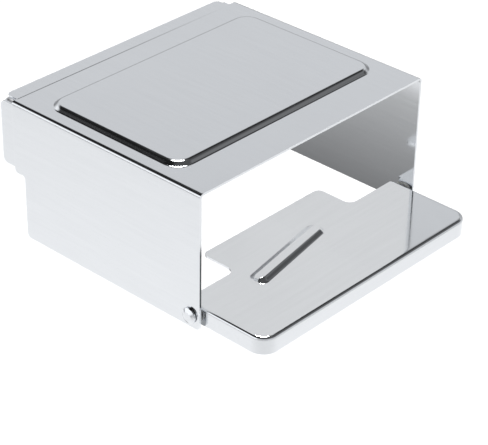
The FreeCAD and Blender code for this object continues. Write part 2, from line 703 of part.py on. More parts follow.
make_hood()
make_flap()
make_back_plate()
for side, hand in ((-1, "left"), (1, "right")):
    make_hinge(side, hand)
    make_arm(side, hand)
    make_rivets(side, hand)
    make_cup(side, hand)
make_tip(-1, "left", sleeve_bore)
make_tip(1, "right", tube_bore)
make_tube("spindle_sleeve", -1, sleeve_radius, sleeve_length)
make_tube("spindle_tube", 1, tube_radius, tube_length)
make_spring()
doc.recompute()

for item in doc.Objects:
    if "Invalid" in item.State or "Error" in item.State:
        raise RuntimeError(f"{item.Label} failed: {item.State}")

os.makedirs("parts", exist_ok=True)
for body in doc.findObjects("PartDesign::Body"):
    if body.Shape.isNull() or not body.Shape.isValid():
        raise RuntimeError(f"{body.Label} has no valid shape")
    body.Shape.exportStep(f"parts/{body.Label}.step")
    print(f"{body.Label}: {len(body.Shape.Solids)} solid(s), {body.Shape.Volume:.1f} mm3")
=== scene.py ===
# %% [markdown]
# # A covered toilet paper holder, bent from sheet steel
# The holder is a hood of one-millimetre stainless sheet, bent into an upside-down U, with a hinged
# flap in front of it. Inside, a folded back plate carries two arms with a spring-loaded spindle.
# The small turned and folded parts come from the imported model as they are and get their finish
# here. The two big sheets, where every bend and pressed rim catches the light, are made again as
# smooth meshes of the same size.

# %% Load the frame
import math
import bmesh
import bpy
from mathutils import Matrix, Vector


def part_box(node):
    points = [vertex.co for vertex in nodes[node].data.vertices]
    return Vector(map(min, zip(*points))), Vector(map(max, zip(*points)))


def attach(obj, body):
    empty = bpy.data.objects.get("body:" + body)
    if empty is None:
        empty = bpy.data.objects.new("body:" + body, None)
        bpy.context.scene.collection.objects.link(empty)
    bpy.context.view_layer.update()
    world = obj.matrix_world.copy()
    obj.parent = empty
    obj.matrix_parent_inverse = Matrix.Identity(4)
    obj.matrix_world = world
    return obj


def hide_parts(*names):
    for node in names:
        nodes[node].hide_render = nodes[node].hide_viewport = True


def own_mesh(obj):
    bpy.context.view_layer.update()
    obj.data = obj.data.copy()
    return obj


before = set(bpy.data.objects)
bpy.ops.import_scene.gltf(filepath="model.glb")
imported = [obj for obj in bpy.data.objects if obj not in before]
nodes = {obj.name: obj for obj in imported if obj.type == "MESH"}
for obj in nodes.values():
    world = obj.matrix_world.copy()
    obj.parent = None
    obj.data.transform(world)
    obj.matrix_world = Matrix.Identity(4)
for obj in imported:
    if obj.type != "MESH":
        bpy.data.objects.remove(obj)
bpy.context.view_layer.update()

# %% [markdown]
# ## Camera
# The holder is seen from in front, from its left and from above, with a long lens, so that its
# parallel edges stay nearly parallel. A short lens close by would make the hood's front look much
# wider than its back.

# %% Camera
lens_mm = 140.5
sensor_mm = 36.0
camera_place = (-0.5319, -0.5614, 0.4010)
camera_tilt, camera_roll, camera_heading = 58.23, -0.93, -47.25  # degrees about X, Y and Z

camera_data = bpy.data.cameras.new("camera")
camera_data.lens = lens_mm
camera_data.sensor_width = sensor_mm
camera = bpy.data.objects.new("camera", camera_data)
camera.location = camera_place
camera_turn = (camera_tilt, camera_roll, camera_heading)
camera.rotation_euler = [math.radians(angle) for angle in camera_turn]
bpy.context.scene.collection.objects.link(camera)
bpy.context.scene.camera = camera
print("camera:", camera_place, "lens", lens_mm, "mm")

# %% [markdown]
# ## Helpers for modelling by hand
# Every operator acts on what is selected, so each step starts by choosing its faces, edges or
# corners by where they lie. These helpers do the choosing.

# %% Choose what an operator acts on
MM = 0.001
NEAR = 1e-5        # two places nearer than this are the same
SAME_WAY = 0.9999  # two normals whose product is more than this belong to one flat
FACING = 0.99      # a normal with more than this along an axis faces that way


def take(piece):
    """Make one object the only selected and the active one."""
    bpy.ops.object.select_all(action="DESELECT")
    piece.select_set(True)
    bpy.context.view_layer.objects.active = piece


def pick(kind, wanted):
    """In edit mode, select only the vertices, edges or faces that wanted() accepts."""
    bpy.ops.mesh.select_mode(type=kind)
    bpy.ops.mesh.select_all(action="DESELECT")
    data = bpy.context.object.data
    mesh = bmesh.from_edit_mesh(data)
    mesh.normal_update()
    items = {"VERT": mesh.verts, "EDGE": mesh.edges, "FACE": mesh.faces}[kind]
    chosen = [item for item in items if wanted(item)]
    for item in chosen:
        item.select_set(True)
    mesh.select_flush_mode()
    bmesh.update_edit_mesh(data)
    return len(chosen)


def near(value, target):
    """True if two lengths are the same."""
    return abs(value - target) < NEAR


def edge_on(edge, axis, value):
    """True if both ends of an edge lie on the plane where that axis has that value."""
    return all(near(corner.co[axis], value) for corner in edge.verts)


X, Y, Z = 0, 1, 2

# %% [markdown]
# ### Starting, cutting and pulling
# A piece starts as a primitive that already has the right size. Bisecting adds edges where a
# detail begins, and extruding single edges pulls sheet out of sheet.

# %% Start a piece from a primitive
def start_cube(name, low, high):
    """A cube primitive with the given corners, in edit mode."""
    bpy.ops.object.select_all(action="DESELECT")
    span = Vector(high) - Vector(low)
    bpy.ops.mesh.primitive_cube_add(size=1, location=(Vector(low) + Vector(high)) / 2)
    bpy.context.object.scale = span
    bpy.ops.object.transform_apply(location=True, rotation=True, scale=True)
    bpy.context.object.name = name
    bpy.context.object.data.name = name
    bpy.ops.object.mode_set(mode="EDIT")
    return bpy.context.object


def cut_across(kind_test, axis, value):
    """Bisect the faces that kind_test accepts by a plane square to one axis."""
    pick("FACE", kind_test)
    place, direction = [0, 0, 0], [0, 0, 0]
    place[axis], direction[axis] = value, 1
    bpy.ops.mesh.bisect(plane_co=place, plane_no=direction)


def round_corners(radius, segments, wanted):
    """Round the flat corners that wanted() accepts."""
    count = pick("VERT", wanted)
    bpy.ops.mesh.bevel(offset=radius, segments=segments, affect="VERTICES")
    return count


def pull_edges(wanted, steps):
    """Extrude the edges that wanted() accepts, once for each step of the way."""
    count = pick("EDGE", wanted)
    for step in steps:
        bpy.ops.mesh.extrude_region_move(TRANSFORM_OT_translate={"value": step})
    return count


# %% [markdown]
# ### Finishing a sheet
# These steps could be left as modifiers. They are applied one by one instead, because each needs
# the mesh that the one before it has made: first thickness, then holes, then broken edges.

# %% Finish a sheet: thickness, holes, broken edges and clean shading
HOLE_SIDES = 48
EDGE_BREAK = 0.12 * MM  # width of the narrow bevel on every cut edge
BREAK_ANGLE, SMOOTH_ANGLE = math.radians(50), math.radians(35)


def apply_all(piece):
    """Make a piece's modifiers part of its mesh."""
    take(piece)
    for modifier in list(piece.modifiers):
        bpy.ops.object.modifier_apply(modifier=modifier.name)


def drill(piece, centre, radius, depth):
    """Take a round hole along X out of a piece."""
    bpy.ops.object.select_all(action="DESELECT")
    bpy.ops.mesh.primitive_cylinder_add(vertices=HOLE_SIDES, radius=radius, depth=depth,
                                        location=centre, rotation=(0, math.pi / 2, 0))
    drill_bit = bpy.context.object
    hole = piece.modifiers.new("hole", "BOOLEAN")
    hole.operation = "DIFFERENCE"
    hole.solver = "EXACT"
    hole.object = drill_bit
    apply_all(piece)
    bpy.data.objects.remove(drill_bit)


def thicken(piece, thickness):
    """Give a skin its thickness, inwards."""
    solid = piece.modifiers.new("sheet", "SOLIDIFY")
    solid.thickness = thickness
    solid.offset = -1
    solid.use_even_offset = True
    apply_all(piece)


def break_edges(piece):
    """A narrow bevel on the cut edges, and normals that keep the flats flat."""
    broken = piece.modifiers.new("broken edges", "BEVEL")
    broken.width = EDGE_BREAK
    broken.segments = 2
    broken.limit_method = "ANGLE"
    broken.angle_limit = BREAK_ANGLE
    apply_all(piece)
    bpy.ops.object.shade_smooth_by_angle(angle=SMOOTH_ANGLE)
    level = piece.modifiers.new("even shading", "WEIGHTED_NORMAL")
    level.keep_sharp = True
    apply_all(piece)
    print(piece.name, "has", len(piece.data.polygons), "faces")


# %% [markdown]
# ## A pressed panel
# The hood's platform and the flap's rib are pressed up out of the sheet in a die. The rim isn't a
# sharp step: the metal leaves the flat in a hollow curve and turns over onto the raised part in a
# round one. Insetting the outline again and again, a little higher each time, follows that curve
# and keeps every ring parallel to the rim.

# %% Raise a panel ring by ring
RINGS = 6             # for each of the two blends of a rim
FLAT_RING = 0.4 * MM  # a flat ring at each side of the rim, so that its shading ends there


def raise_panel(rise, run, foot, crown):
    """Inset the selected outline ring by ring: a hollow foot, a straight slope, a round crown.

    The slope of each ring grows over the foot's width and dies out over the crown's, and it is as
    steep between them as the rise asks for. That angle is returned, in degrees.
    """
    steepest = rise / (run - foot / 2 - crown / 2)
    foot_rings = [(foot / RINGS, (ring + 0.5) / RINGS) for ring in range(RINGS)]
    slope_rings = [((run - foot - crown) / 2, 1.0)] * 2
    crown_rings = [(crown / RINGS, 1 - (ring + 0.5) / RINGS) for ring in range(RINGS)]
    bpy.ops.mesh.inset(thickness=FLAT_RING, depth=0)
    for width, share in foot_rings + slope_rings + crown_rings:
        bpy.ops.mesh.inset(thickness=width, depth=width * steepest * share)
    bpy.ops.mesh.inset(thickness=FLAT_RING, depth=0)
    return math.degrees(math.atan(steepest))


def weld_panel(sheet, panel, level):
    """Join a raised panel into the flat of a sheet that lies at one height."""
    bpy.ops.object.mode_set(mode="OBJECT")
    take(panel)
    sheet.select_set(True)
    bpy.context.view_layer.objects.active = sheet
    bpy.ops.object.join()
    bpy.ops.object.mode_set(mode="EDIT")
    pick("EDGE", lambda edge: edge_on(edge, Z, level) and len(edge.link_faces) < 2)
    bpy.ops.mesh.fill()
    bpy.ops.mesh.select_all(action="SELECT")
    bpy.ops.mesh.remove_doubles(threshold=NEAR / 10)
    bpy.ops.mesh.normals_make_consistent(inside=False)
    mesh = bmesh.from_edit_mesh(sheet.data)
    facing = sum(face.normal.z * face.calc_area() for face in mesh.faces)
    if facing < 0:
        bpy.ops.mesh.flip_normals()


def keep_flat(flat_test, places):
    """Cut a flat beside its rims, so that the shading of a bend ends there and doesn't creep in."""
    for axis, values in places.items():
        for value in values:
            cut_across(flat_test, axis, value)


# %% [markdown]
# ## The hood
# The real hood is one blank: cut, pressed and bent twice. It could be made from a thick U with
# everything cut out of it, but a skin without thickness is easier to shape: a cube loses its
# bottom, front and back, its two long edges are rounded into bends, and the lips are pulled out of
# its back edges. The thickness comes last, inwards, so the outside keeps its size.

# %% Hood sizes
gauge = 1.0 * MM
lip_length, lip_ramp, lip_inset, lip_corner = 8.5 * MM, 1.2 * MM, 4.2 * MM, 2.5 * MM
side_lip_drop, side_lip_length = 2.4 * MM, 30.5 * MM
bend_radius, hood_corner = 1.6 * MM, 2.1 * MM
wall_step, wall_step_drop, step_corner = 6.2 * MM, 34.6 * MM, 1.5 * MM
platform_side, platform_front, platform_back = 7.5 * MM, 19.3 * MM, 13.2 * MM
platform_rise, platform_run, platform_corner = 1.8 * MM, 2.0 * MM, 8.5 * MM
press_foot, press_crown, press_spread = 0.7 * MM, 1.6 * MM, 0.5 * MM  # blends of its rim
flat_band = 0.8 * MM  # a strip of flat left beside each bend, so that its shading ends there
few, some, many = 6, 8, 16  # segments of small corners, of bends and of large corners

hood_low, hood_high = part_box("hood_shell")
hood_top = hood_high.z - platform_rise
hood_back = hood_high.y - lip_length
half_width = hood_high.x
lip_half = half_width - lip_inset
lip_top = hood_top - side_lip_drop
lip_foot = lip_top - side_lip_length
step_y = hood_back - wall_step
step_z = hood_top - wall_step_drop
print("hood top at", round(hood_top, 5), "back at", round(hood_back, 5))

# %% [markdown]
# ### The two bends
# On the real hood a press brake folds both walls down over a rounded edge. The sharp long edges
# of a cube could stay sharp with a shading trick, but then they would catch no light. Bevelling
# them with eight segments gives each bend its true radius, and its own thin line of light and
# dark.

# %% Bend the skin
def is_wall(face):
    """True for the flats of the side walls, and not for the first strip of a bend."""
    return abs(face.normal.x) > SAME_WAY


def is_top(face):
    """True for flats that face straight up."""
    return face.normal.z > SAME_WAY


hood = start_cube("hood_sheet", (-half_width, hood_low.y, hood_low.z),
                  (half_width, hood_back, hood_top))
pick("FACE", lambda face: abs(face.normal.y) > FACING or face.normal.z < -FACING)
bpy.ops.mesh.delete(type="FACE")
bends = pick("EDGE", lambda edge: edge_on(edge, Z, hood_top) and len(edge.link_faces) == 2)
bpy.ops.mesh.bevel(offset=bend_radius, segments=some, affect="EDGES")
print("bent", bends, "long edges")

# %% [markdown]
# ### The stepped back edges
# Only the upper part of each wall meets the back plate, so the lower part is cut forward of it. A
# Boolean cutter could do it, but cuts straight across the skin leave the edges that the lips are
# pulled from later. Cuts that end nothing are dissolved again, so the flats stay single faces.

# %% Cut the walls' back edges
cut_across(is_wall, Y, step_y)
for height in (step_z, lip_foot, lip_top):
    cut_across(is_wall, Z, height)
pick("FACE", lambda face: is_wall(face) and face.calc_center_median().y > step_y
     and face.calc_center_median().z < step_z)
bpy.ops.mesh.delete(type="FACE")
for side in (-lip_half, lip_half):
    cut_across(is_top, X, side)


def inside_flat(edge):
    """True for a cut that crosses a flat face without ending anything."""
    faces = edge.link_faces
    return len(faces) == 2 and faces[0].normal.dot(faces[1].normal) > SAME_WAY


spare = pick("EDGE", inside_flat)
bpy.ops.mesh.dissolve_edges(use_verts=False)
print("dissolved", spare, "cuts again")

# %% [markdown]
# ### Corners that hands touch
# A stamped blank has no sharp corners. The skin is still flat here, so bevelling single corners
# is enough: a rounded corner of the outline, which later becomes a rounded corner of the sheet.

# %% Round the walls' corners
round_corners(hood_corner, some, lambda corner: near(corner.co.z, hood_low.z))
rounded = round_corners(step_corner, few, lambda corner: near(corner.co.z, step_z) and (
    near(corner.co.y, step_y) or near(corner.co.y, hood_back)))
print("rounded", rounded, "step corners")

# %% [markdown]
# ### Lips that step in by one sheet
# The lips lie on the back plate's folded rims, so each is offset inwards by the sheet's own
# thickness. Extruding the back edge twice makes first the short ramp of that offset and then the
# flat of the lip. A separate strip would be easier, but a bent lip has no joint to show.

# %% Pull the stepped lips out of the back edges
lip_run = lip_length - lip_ramp
pull_edges(lambda edge: edge_on(edge, Z, hood_top) and edge_on(edge, Y, hood_back)
           and all(abs(corner.co.x) < lip_half + NEAR for corner in edge.verts),
           [(0, lip_ramp, -gauge), (0, lip_run, 0)])
for side in (-1, 1):
    pulled = pull_edges(lambda edge: edge_on(edge, X, half_width * side)
                        and edge_on(edge, Y, hood_back)
                        and all(lip_foot - NEAR < corner.co.z < lip_top + NEAR
                                for corner in edge.verts),
                        [(-gauge * side, lip_ramp, 0), (0, lip_run, 0)])
rounded = round_corners(lip_corner, some, lambda corner: near(corner.co.y, hood_high.y))
print("pulled", pulled, "side lip edges, rounded", rounded, "lip corners")

# %% [markdown]
# ### The raised platform
# The platform stiffens the top. It could be lifted by a displacement, but then its rim would
# follow the mesh and not the die. The top's face is taken out instead, the platform's rounded
# outline is raised by itself, and the flat round it is filled again between the two outlines.

# %% Press the platform
platform_low = Vector((platform_side - half_width, hood_low.y + platform_front, hood_top))
platform_high = Vector((half_width - platform_side, hood_back - platform_back, hood_top))
reach = press_spread + FLAT_RING
margin = Vector((reach, reach, 0))
pick("FACE", lambda face: is_top(face) and near(face.calc_center_median().z, hood_top))
bpy.ops.mesh.delete(type="ONLY_FACE")
bpy.ops.object.mode_set(mode="OBJECT")
bpy.ops.object.select_all(action="DESELECT")
bpy.ops.mesh.primitive_plane_add(size=1, location=(platform_low + platform_high) / 2)
platform = bpy.context.object
platform.scale = platform_high - platform_low + margin * 2
bpy.ops.object.transform_apply(location=True, rotation=True, scale=True)
bpy.ops.object.mode_set(mode="EDIT")
round_corners(platform_corner + reach, many, lambda corner: True)
pick("FACE", lambda face: True)
slope = raise_panel(platform_rise, platform_run + press_spread * 2, press_foot, press_crown)
print("platform slope", round(slope, 1), "degrees")
weld_panel(hood, platform, hood_top)
flat_half = half_width - bend_radius - flat_band
keep_flat(is_top, {X: (-flat_half, flat_half),
                   Y: (hood_low.y + flat_band, hood_back - flat_band)})
keep_flat(is_wall, {Y: (hood_low.y + flat_band, step_y - flat_band),
                    Z: (hood_low.z + flat_band, hood_top - bend_radius - flat_band)})
bpy.ops.object.mode_set(mode="OBJECT")

# %% [markdown]
# ### One millimetre of steel
# Solidify gives the skin its thickness inwards, as the outside is what the sizes describe. Two
# round cutters make the hinge holes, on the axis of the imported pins. A very small bevel breaks
# every cut edge, because a real edge always shows as a fine bright line.

# %% Give the hood its thickness and its hinge holes
hinge_hole = 2.7 * MM
axis_low, axis_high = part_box("hinge_pin_left")
hinge_y = (axis_low.y + axis_high.y) / 2
hinge_z = (axis_low.z + axis_high.z) / 2
drill_through = gauge * 4
thicken(hood, gauge)
for side in (-1, 1):
    drill(hood, ((half_width - gauge / 2) * side, hinge_y, hinge_z), hinge_hole, drill_through)
break_edges(hood)

# %% [markdown]
# ## The flap
# The flap is a shallow tray with its back left open: a plate, a flange turned down round three
# sides with generous corners, and a tab that reaches back under the hood. Its corners are drawn,
# so the bend runs round them in one piece. It starts as a cube too, and the tab is pulled out of
# the plate's back edge.

# %% Flap sizes
flap_tail, flange_tail = 5.0 * MM, 3.7 * MM
flap_corner, flap_bend = 7.5 * MM, 1.5 * MM
tab_width, tab_corner, tab_root = 75.5 * MM, 3.0 * MM, 4.0 * MM
rib_length, rib_radius, rib_rise, rib_run = 44.5 * MM, 4.2 * MM, 2.0 * MM, 2.0 * MM
rib_turn, rib_left, rib_ahead = 10.5, 12.5 * MM, 2.5 * MM  # its turn is in degrees
rib_foot, rib_crown, rib_spread = 1.6 * MM, 1.9 * MM, 0.9 * MM
pin_hole = 1.5 * MM

flap_low, flap_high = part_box("front_flap")
plate_top = flap_high.z - rib_rise
flange_back = hinge_y + flange_tail
plate_back = hinge_y + flap_tail
half_tab = tab_width / 2

# %% [markdown]
# ### A flange drawn round the corners
# The flange is drawn in a die, so the two front corners are rounded in plan and the bend to the
# plate runs round them without a seam. First the upright edges are bevelled, then the whole rim
# of the plate: the other order would pinch the bend at each corner.

# %% Turn the flange down
flap = start_cube("flap_sheet", flap_low, (flap_high.x, flange_back, plate_top))
pick("FACE", lambda face: face.normal.y > FACING or face.normal.z < -FACING)
bpy.ops.mesh.delete(type="FACE")
pick("EDGE", lambda edge: edge_on(edge, Y, flap_low.y) and not edge_on(edge, Z, plate_top)
     and len(edge.link_faces) == 2)
bpy.ops.mesh.bevel(offset=flap_corner, segments=many, affect="EDGES")
rim = pick("EDGE", lambda edge: edge_on(edge, Z, plate_top) and len(edge.link_faces) == 2)
bpy.ops.mesh.bevel(offset=flap_bend, segments=some, affect="EDGES")
print("bent the plate's rim along", rim, "edges")
round_corners(flap_bend, few, lambda corner: near(corner.co.y, flange_back)
              and near(corner.co.z, flap_low.z))

# %% [markdown]
# ### The tab
# The tab is part of the plate. It has rounded outer corners and small hollows where it leaves the
# plate, which keep a stamped sheet from tearing. It is pulled out of the back edge as the lips
# are.

# %% Pull the tab out of the plate
at_back = [(0, flap_tail - flange_tail, 0)]
pull_edges(lambda edge: edge_on(edge, Y, flange_back) and edge_on(edge, Z, plate_top)
           and edge.calc_length() > half_tab, at_back)
for side in (-half_tab, half_tab):
    cut_across(is_top, X, side)
pull_edges(lambda edge: edge_on(edge, Y, plate_back) and near(edge.calc_length(), tab_width),
           [(0, flap_high.y - plate_back, 0)])
pick("EDGE", inside_flat)
bpy.ops.mesh.dissolve_edges(use_verts=False)
round_corners(tab_corner, some, lambda corner: near(corner.co.y, flap_high.y))
hollows = round_corners(tab_root, some, lambda corner: near(corner.co.y, plate_back)
                        and near(abs(corner.co.x), half_tab))
print("hollowed", hollows, "roots of the tab")

# %% [markdown]
# ### The rib
# A long rounded rib, set a little askew, keeps the thin plate stiff and stops a phone from
# sliding. It is raised as the platform is, but its rim is softer, because its ends are so tightly
# rounded.

# %% Press the rib
pick("FACE", is_top)
bpy.ops.mesh.delete(type="ONLY_FACE")
bpy.ops.object.mode_set(mode="OBJECT")
bpy.ops.object.select_all(action="DESELECT")
round_end = 24
rib_reach = rib_radius + rib_spread + FLAT_RING
bpy.ops.mesh.primitive_circle_add(vertices=round_end * 2, radius=rib_reach, fill_type="NGON")
rib = bpy.context.object
bpy.ops.object.mode_set(mode="EDIT")
half_step = math.pi / round_end / 2
bpy.ops.mesh.select_all(action="SELECT")
bpy.ops.transform.rotate(value=half_step, orient_axis="Z", center_override=(0, 0, 0))
for side in (-1, 1):
    pick("VERT", lambda corner: corner.co.x * side > NEAR)
    bpy.ops.transform.translate(value=(rib_length / 2 * side, 0, 0))
pick("FACE", lambda face: True)
slope = raise_panel(rib_rise, rib_run + rib_spread * 2, rib_foot, rib_crown)
print("rib slope", round(slope, 1), "degrees")
bpy.ops.object.mode_set(mode="OBJECT")
rib.location = (-rib_left, hinge_y - rib_ahead, plate_top)
rib.rotation_euler.z = math.radians(rib_turn)
bpy.ops.object.transform_apply(location=True, rotation=True, scale=True)
weld_panel(flap, rib, plate_top)
keep_flat(is_top, {X: (-flap_high.x + flap_bend + flat_band, -half_tab + flat_band,
                       half_tab - flat_band, flap_high.x - flap_bend - flat_band),
                   Y: (flap_low.y + flap_bend + flat_band, plate_back - flat_band)})
bpy.ops.object.mode_set(mode="OBJECT")

# %% [markdown]
# ### The flap's thickness
# The flap gets its metal as the hood does, and the pins' holes are drilled on the hinge's axis.

# %% Give the flap its thickness and its pin holes
thicken(flap, gauge)
for side in (-1, 1):
    drill(flap, ((flap_high.x - gauge / 2) * side, hinge_y, hinge_z), pin_hole, drill_through)
break_edges(flap)

# %% [markdown]
# ## Steel, and what makes it look like steel
# A plain grey with full metallic looks like plastic. Rolled and polished sheet has three things on
# it: a fine grain along the rolling direction, a brighter band along the edges, which is partly the
# deburring wheel's work and partly a painted highlight, and the cloudy marks of hands. Turned
# pieces have a lathe's marks besides. All of them turn up on several pieces, so each is a node
# group with its own inputs, used with other values in each finish.

# %% Make a node group
def new_group(name, inputs, outputs):
    """An empty shader node group; inputs maps each name to its socket type and value."""
    group = bpy.data.node_groups.new(name, "ShaderNodeTree")
    for label, (kind, value) in inputs.items():
        socket = group.interface.new_socket(label, in_out="INPUT", socket_type=kind)
        if value is not None:
            socket.default_value = value
    for label in outputs:
        group.interface.new_socket(label, in_out="OUTPUT", socket_type="NodeSocketFloat")
    print("group", name, "takes", list(inputs), "and gives", outputs)
    return group, group.nodes.new("NodeGroupInput"), group.nodes.new("NodeGroupOutput")


def add(tree, kind, links=None, **settings):
    """Add a node with settings, and link sockets into its inputs by name or number."""
    node = tree.nodes.new(kind)
    for name, value in settings.items():
        setattr(node, name, value)
    for name, source in (links or {}).items():
        if isinstance(source, bpy.types.NodeSocket):
            tree.links.new(source, node.inputs[name])
        else:
            node.inputs[name].default_value = source
    return node


VECTOR, FLOAT = "NodeSocketVector", "NodeSocketFloat"

# %% [markdown]
# ### Rolled grain
# Rolls leave fine scratches that all run one way. A noise squeezed hard along one axis becomes
# such streaks. Two sizes of it are used: both together make the relief, and the broad ones alone
# the tone and the gloss. It could be a wave texture, but waves repeat and steel doesn't.

# %% Rolled grain
grain, grain_in, grain_out = new_group(
    "rolled_grain", {"Vector": (VECTOR, None), "Stretch": (VECTOR, (1, 1, 1)),
                     "Fineness": (FLOAT, 3000.0)}, ["Height", "Streaks"])
along = add(grain, "ShaderNodeVectorMath", {0: grain_in.outputs["Vector"],
                                            1: grain_in.outputs["Stretch"]}, operation="MULTIPLY")
fine = add(grain, "ShaderNodeTexNoise", {"Vector": along.outputs["Vector"],
                                         "Scale": grain_in.outputs["Fineness"], "Detail": 2.0})
coarser = add(grain, "ShaderNodeMath", {0: grain_in.outputs["Fineness"], 1: 0.22},
              operation="MULTIPLY")
broad = add(grain, "ShaderNodeTexNoise", {"Vector": along.outputs["Vector"],
                                          "Scale": coarser.outputs[0], "Detail": 3.0})
both = add(grain, "ShaderNodeMath", {0: fine.outputs[0], 1: broad.outputs[0]}, operation="ADD")
grain.links.new(both.outputs[0], grain_out.inputs["Height"])
sharper = add(grain, "ShaderNodeMapRange", {"Value": broad.outputs[0], "From Min": 0.3,
                                            "From Max": 0.7})
grain.links.new(sharper.outputs[0], grain_out.inputs["Streaks"])

# %% [markdown]
# ### Deburred edges, with a painted highlight
# A deburring wheel takes off the sharp corner and leaves it brighter, and the colour lifted there
# also paints a highlight along every edge. The bevel node looks round each point for nearby
# corners:
# where its rounded normal differs from the true one, an edge is near. It needs no texture drawn for
# it, and it follows the holes and lips by itself.

# %% Deburred edges, with a painted highlight
# painted highlight: this mask marks every edge, and the metals lighten their colour there
edges, edges_in, edges_out = new_group(
    "deburred_and_highlit_edges", {"Width": (FLOAT, 0.0006), "Sharpness": (FLOAT, 6.0)}, ["Mask"])
rounded_normal = add(edges, "ShaderNodeBevel", {"Radius": edges_in.outputs["Width"]}, samples=4)
flat_normal = add(edges, "ShaderNodeNewGeometry")
agree = add(edges, "ShaderNodeVectorMath", {0: rounded_normal.outputs["Normal"],
                                            1: flat_normal.outputs["Normal"]},
            operation="DOT_PRODUCT")
differ = add(edges, "ShaderNodeMath", {0: 1.0, 1: agree.outputs["Value"]}, operation="SUBTRACT")
strong = add(edges, "ShaderNodeMath", {0: differ.outputs[0], 1: edges_in.outputs["Sharpness"]},
             operation="MULTIPLY", use_clamp=True)
edges.links.new(strong.outputs[0], edges_out.inputs["Mask"])

# %% [markdown]
# ### Marks of handling
# Polished steel is never equally clean. A cloudy noise, bent a little by distortion, raises the
# roughness in patches. It is kept so weak that it shows only where a reflection crosses it.

# %% Marks of handling
marks, marks_in, marks_out = new_group(
    "handling_marks", {"Vector": (VECTOR, None), "Size": (FLOAT, 0.03)}, ["Mask"])
per_metre = add(marks, "ShaderNodeMath", {0: 1.0, 1: marks_in.outputs["Size"]},
                operation="DIVIDE")
cloud = add(marks, "ShaderNodeTexNoise", {"Vector": marks_in.outputs["Vector"],
                                          "Scale": per_metre.outputs[0], "Detail": 4.0,
                                          "Distortion": 0.6})
spread = add(marks, "ShaderNodeMapRange", {"Value": cloud.outputs[0], "From Min": 0.42,
                                           "From Max": 0.68})
marks.links.new(spread.outputs[0], marks_out.inputs["Mask"])

# %% [markdown]
# ### Turning marks
# Pins and spindle ends come from a lathe, which leaves a spiral as fine as its feed. A sine of
# the distance from the axis, plus the distance along it, draws rings on end faces and threads on
# the barrels, with one formula.

# %% Turning marks
turning, turning_in, turning_out = new_group(
    "turning_marks", {"Vector": (VECTOR, None), "Pitch": (FLOAT, 0.0002)}, ["Height"])
apart = add(turning, "ShaderNodeSeparateXYZ", {0: turning_in.outputs["Vector"]})
across = add(turning, "ShaderNodeCombineXYZ", {1: apart.outputs["Y"], 2: apart.outputs["Z"]})
radius = add(turning, "ShaderNodeVectorMath", {0: across.outputs[0]}, operation="LENGTH")
feed = add(turning, "ShaderNodeMath", {0: radius.outputs["Value"], 1: apart.outputs["X"]},
           operation="ADD")
turns = add(turning, "ShaderNodeMath", {0: feed.outputs[0], 1: turning_in.outputs["Pitch"]},
            operation="DIVIDE")
angle = add(turning, "ShaderNodeMath", {0: turns.outputs[0], 1: math.tau}, operation="MULTIPLY")
groove = add(turning, "ShaderNodeMath", {0: angle.outputs[0]}, operation="SINE")
turning.links.new(groove.outputs[0], turning_out.inputs["Height"])

# %% [markdown]
# ## One recipe for all the bare metals
# The sheet, the arms, the tubes, the pins and the springs are all bare steel. They differ in how
# light it is, how smooth, which way the grain runs and whether a lathe has been over it. So one
# function mixes the finish, and each metal is one call of it.

# %% Mix a metal
DEBURR_AND_HIGHLIGHT_GAIN = 1.08  # how much lighter an edge is than its sheet: deburred metal and a painted highlight
TOUCH_DULLING = 0.03  # how much roughness a hand leaves


def metal(name, light, dark, smooth, rough, stretch, fineness, depth, centre=(0, 0, 0), pitch=0):
    """A bare metal, with light and dark streaks that are also smoother and rougher.

    The grain is drawn out by stretch, per axis, and fineness says how close it is. The depth of the
    relief and a lathe's pitch round the axis through centre are in metres.
    """
    material = bpy.data.materials.new(name)
    material.use_nodes = True
    tree = material.node_tree
    skin = tree.nodes["Principled BSDF"]
    skin.inputs["Metallic"].default_value = 1.0
    place = add(tree, "ShaderNodeTexCoord")
    centred = add(tree, "ShaderNodeMapping", {"Vector": place.outputs["Object"],
                                              "Location": [-value for value in centre]})
    rolled = add(tree, "ShaderNodeGroup", node_tree=grain)
    tree.links.new(centred.outputs["Vector"], rolled.inputs["Vector"])
    rolled.inputs["Stretch"].default_value = stretch
    rolled.inputs["Fineness"].default_value = fineness
    touched = add(tree, "ShaderNodeGroup", node_tree=marks)
    tree.links.new(centred.outputs["Vector"], touched.inputs["Vector"])
    deburred_and_highlit = add(tree, "ShaderNodeGroup", node_tree=edges)

    shade = add(tree, "ShaderNodeMixRGB", {"Fac": rolled.outputs["Streaks"],
                                           "Color1": (*dark, 1), "Color2": (*light, 1)})
    # painted highlight: near every edge the colour is lifted, partly for deburred metal and partly
    # as a highlight
    edge_tone = [min(1.0, value * DEBURR_AND_HIGHLIGHT_GAIN) for value in light]
    tone = add(tree, "ShaderNodeMixRGB", {"Fac": deburred_and_highlit.outputs["Mask"],
                                          "Color1": shade.outputs[0],
                                          "Color2": (*edge_tone, 1)})
    tree.links.new(tone.outputs[0], skin.inputs["Base Color"])

    brushed = add(tree, "ShaderNodeMapRange", {"Value": rolled.outputs["Streaks"],
                                               "To Min": smooth, "To Max": rough})
    dulled = add(tree, "ShaderNodeMath", {0: touched.outputs["Mask"], 1: TOUCH_DULLING,
                                          2: brushed.outputs[0]}, operation="MULTIPLY_ADD")
    tree.links.new(dulled.outputs[0], skin.inputs["Roughness"])

    height = rolled.outputs["Height"]
    if pitch:
        turned_on = add(tree, "ShaderNodeGroup", node_tree=turning)
        tree.links.new(centred.outputs["Vector"], turned_on.inputs["Vector"])
        turned_on.inputs["Pitch"].default_value = pitch
        height = add(tree, "ShaderNodeMath", {0: height, 1: turned_on.outputs["Height"]},
                     operation="ADD").outputs[0]
    relief = add(tree, "ShaderNodeBump", {"Height": height, "Strength": 1.0, "Distance": depth})
    tree.links.new(relief.outputs["Normal"], skin.inputs["Normal"])
    print("mixed", name)
    return material


